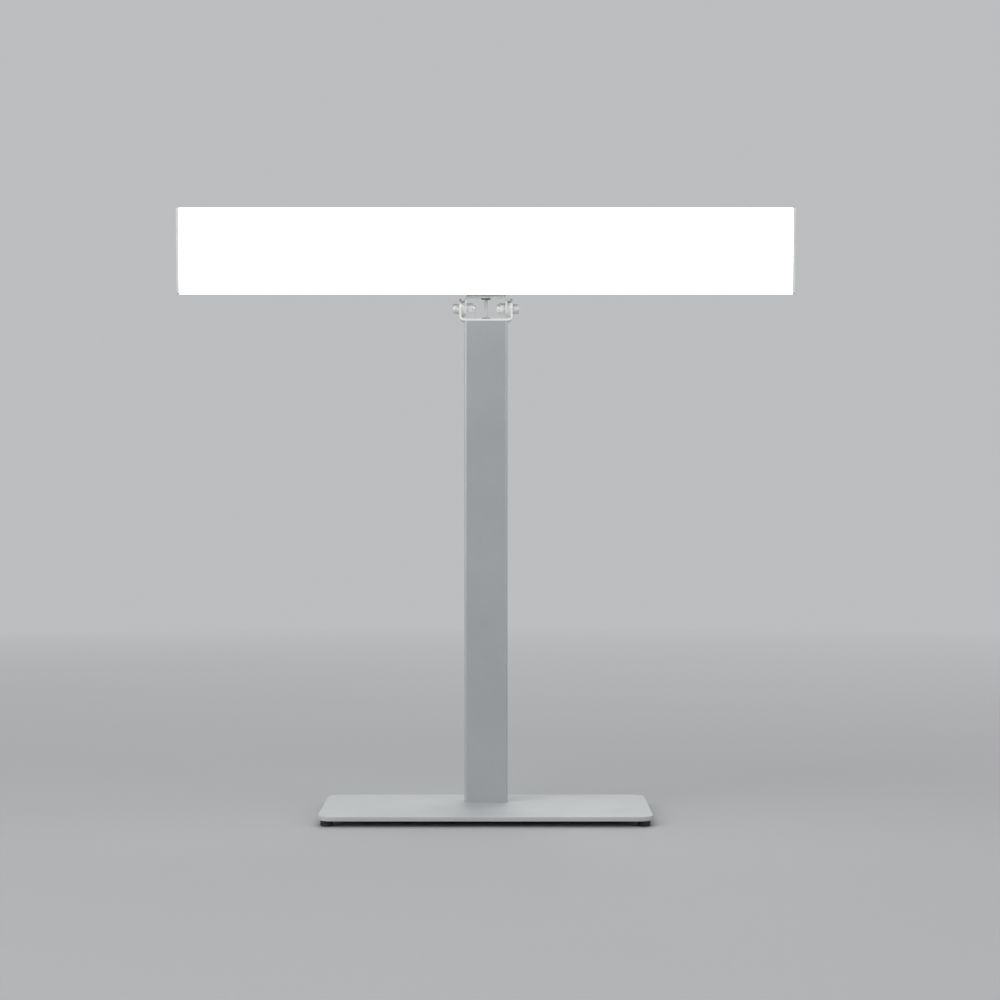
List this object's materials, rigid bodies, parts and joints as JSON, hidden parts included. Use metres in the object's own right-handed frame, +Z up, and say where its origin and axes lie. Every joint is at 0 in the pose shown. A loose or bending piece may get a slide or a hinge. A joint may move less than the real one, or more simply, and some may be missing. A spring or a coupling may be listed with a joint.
{
  "type": "light therapy lamp",
  "caption": "Free-standing light therapy lamp: a wide lit panel that tilts on a flat post over a steel base plate.",
  "frame": {"origin": "on the table, under the middle of the base plate, which is also under the middle of the head's length", "axes": "+Z up, +X to the right as seen from the front, the light faces -Y; the head is at rest, 4.5 degrees forward"},
  "size_m": [0.599, 0.16, 0.5897],
  "materials": {
    "coated_steel": "satin powder coat, fine texture",
    "rubber": "matte",
    "screw_steel": "bright zinc plate",
    "raw_aluminium": "mill finish",
    "housing_aluminium": "satin anodised",
    "opal": "opal, lit from behind",
    "cap_plastic": "light grey, satin",
    "nylon": "natural nylon",
    "tie_nylon": "black nylon",
    "lead_jacket": "pale grey, soft",
    "wire_insulation": "insulated wire",
    "black_plastic": "black, fine texture",
    "rocker_plastic": "black, semi-gloss",
    "contact_metal": "tin-plated brass",
    "light_board": "white solder mask",
    "led": "phosphor-coated",
    "driver_board": "green solder mask",
    "driver_part": "moulded",
    "capacitor": "sleeved",
    "terminal": "moulded green"
  },
  "bodies": {
    "stand": {"base_plate": "coated_steel", "rubber_feet": "rubber", "base_screws": "screw_steel", "post_tube": "coated_steel", "post_bottom_insert": "raw_aluminium", "post_top_insert": "raw_aluminium", "insert_screws": "screw_steel", "inlet_housing": "black_plastic", "inlet_pin": "contact_metal", "inlet_contacts": "contact_metal", "post_lead": "lead_jacket", "post_lead_tie": "tie_nylon", "lower_bracket": "coated_steel", "lower_bracket_screws": "screw_steel", "post_grommet": "rubber", "pivot_screws": "screw_steel", "friction_washers": "nylon", "inner_washers": "screw_steel", "lock_nuts": "screw_steel", "nut_rings": "nylon", "hinge_lead": "lead_jacket"},
    "head": {"upper_bracket": "coated_steel", "head_grommet": "rubber", "upper_bracket_screws": "screw_steel", "nut_bar": "screw_steel", "end_cap_screws": "screw_steel", "led_board_screws": "screw_steel", "driver_screws": "screw_steel", "led_carrier": "raw_aluminium", "head_housing": "housing_aluminium", "diffuser": "opal", "end_cap_left": "cap_plastic", "end_cap_right": "cap_plastic", "bracket_pad": "nylon", "head_lead_tie": "tie_nylon", "head_lead": "lead_jacket", "supply_cores": "wire_insulation", "switch_wires": "wire_insulation", "led_wires": "wire_insulation", "board_jumpers": "wire_insulation", "switch_housing": "black_plastic", "driver_chips": "black_plastic", "led_connector": "black_plastic", "switch_blades": "contact_metal", "driver_standoffs": "contact_metal", "led_boards": "light_board", "leds": "led", "driver_board": "driver_board", "driver_coil": "driver_part", "driver_capacitors": "capacitor", "terminal_blocks": "terminal"},
    "rocker": {"switch_rocker": "rocker_plastic"}
  },
  "joints": [
    {"name": "head_tilt", "type": "hinge", "parent": "stand", "child": "head", "pos_m": [0, 0.031, 0.4922], "axis": [1, 0, 0], "range_deg": [-40, 85], "deforming": ["hinge_lead"]},
    {"name": "switch_rock", "type": "hinge", "parent": "head", "child": "rocker", "pos_m": [0, 0.0346, 0.54836], "axis": [0, -0.0785, 0.9969], "range_deg": [0, 16]}
  ]
}
